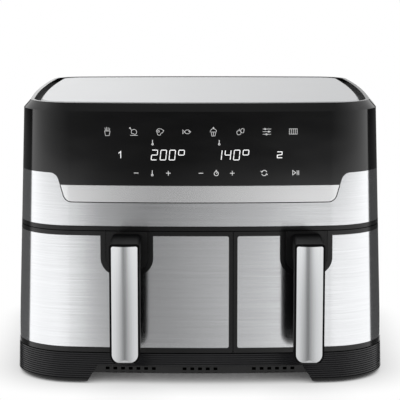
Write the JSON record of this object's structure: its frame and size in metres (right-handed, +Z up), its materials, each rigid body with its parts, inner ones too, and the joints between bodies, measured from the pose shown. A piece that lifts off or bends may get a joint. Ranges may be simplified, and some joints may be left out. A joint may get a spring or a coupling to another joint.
{
  "type": "air fryer",
  "caption": "Two-drawer countertop air fryer with brushed steel drawer fronts, hanging grip handles, a black touch panel and a steel top plate on a ribbed black base.",
  "frame": {"origin": "centre of the bounding box in plan, on the worktop plane under the foot pads", "axes": "+Z up, the drawers open towards -Y, +X to the right when facing the front"},
  "size_m": [0.3894, 0.4487, 0.287],
  "materials": {
    "black_plastic": "fine satin grain",
    "gloss_black": "high gloss",
    "brushed_steel": "fine brushed",
    "satin_trim": "satin",
    "rubber": "matte",
    "silicone": "soft matte",
    "nonstick": "dark speckled coating",
    "sheet_steel": "zinc coated",
    "heater_steel": "heat darkened",
    "motor_grey": "plain",
    "bright_steel": "bright",
    "fan_aluminium": "pressed sheet",
    "circuit_board": "solder mask"
  },
  "bodies": {
    "housing": {"base_tray": "black_plastic", "base_skirt": "black_plastic", "foot_pads": "rubber", "bay_floor": "sheet_steel", "front_frame": "black_plastic", "console_carrier": "black_plastic", "control_panel": "gloss_black", "trim_strip": "satin_trim", "fascia": "brushed_steel", "display_board": "circuit_board", "top_cover": "gloss_black", "top_plate": "brushed_steel", "rear_cover": "black_plastic", "rear_screws": "bright_steel", "cord_gland": "rubber", "temperature_probes": "bright_steel", "power_board": "circuit_board", "side_cover_left": "black_plastic", "side_cover_right": "black_plastic", "chamber_left": "sheet_steel", "chamber_right": "sheet_steel", "rails_left": "sheet_steel", "rails_right": "sheet_steel", "guard_left": "sheet_steel", "guard_right": "sheet_steel", "heater_left": "heater_steel", "heater_right": "heater_steel", "duct_left": "sheet_steel", "duct_right": "sheet_steel", "motor_left": "motor_grey", "motor_right": "motor_grey"},
    "drawer_left": {"bowl_left": "nonstick", "bracket_left": "black_plastic", "drawer_front_left": "black_plastic", "drawer_skin_left": "brushed_steel", "handle_mount_left": "black_plastic", "handle_grip_left": "black_plastic", "handle_facing_left": "satin_trim", "handle_screws_left": "bright_steel"},
    "plate_left": {"grill_plate_left": "nonstick", "plate_bumpers_left": "silicone"},
    "rotor_left": {"shaft_left": "bright_steel", "fan_left": "fan_aluminium", "cooler_left": "fan_aluminium"},
    "drawer_right": {"bowl_right": "nonstick", "bracket_right": "black_plastic", "drawer_front_right": "black_plastic", "drawer_skin_right": "brushed_steel", "handle_mount_right": "black_plastic", "handle_grip_right": "black_plastic", "handle_facing_right": "satin_trim", "handle_screws_right": "bright_steel"},
    "plate_right": {"grill_plate_right": "nonstick", "plate_bumpers_right": "silicone"},
    "rotor_right": {"shaft_right": "bright_steel", "fan_right": "fan_aluminium", "cooler_right": "fan_aluminium"}
  },
  "joints": [
    {"name": "drawer_left_slide", "type": "slide", "parent": "housing", "child": "drawer_left", "axis": [0, -1, 0], "range_m": [0, 0.3]},
    {"name": "plate_left_lift", "type": "slide", "parent": "drawer_left", "child": "plate_left", "axis": [0, 0, 1], "range_m": [0, 0.1]},
    {"name": "fan_left_spin", "type": "hinge", "parent": "housing", "child": "rotor_left", "pos_m": [-0.07418, 0.02749, 0.2], "axis": [0, 0, 1], "continuous": true},
    {"name": "drawer_right_slide", "type": "slide", "parent": "housing", "child": "drawer_right", "axis": [0, -1, 0], "range_m": [0, 0.3]},
    {"name": "plate_right_lift", "type": "slide", "parent": "drawer_right", "child": "plate_right", "axis": [0, 0, 1], "range_m": [0, 0.1]},
    {"name": "fan_right_spin", "type": "hinge", "parent": "housing", "child": "rotor_right", "pos_m": [0.10778, 0.02749, 0.2], "axis": [0, 0, 1], "continuous": true}
  ]
}
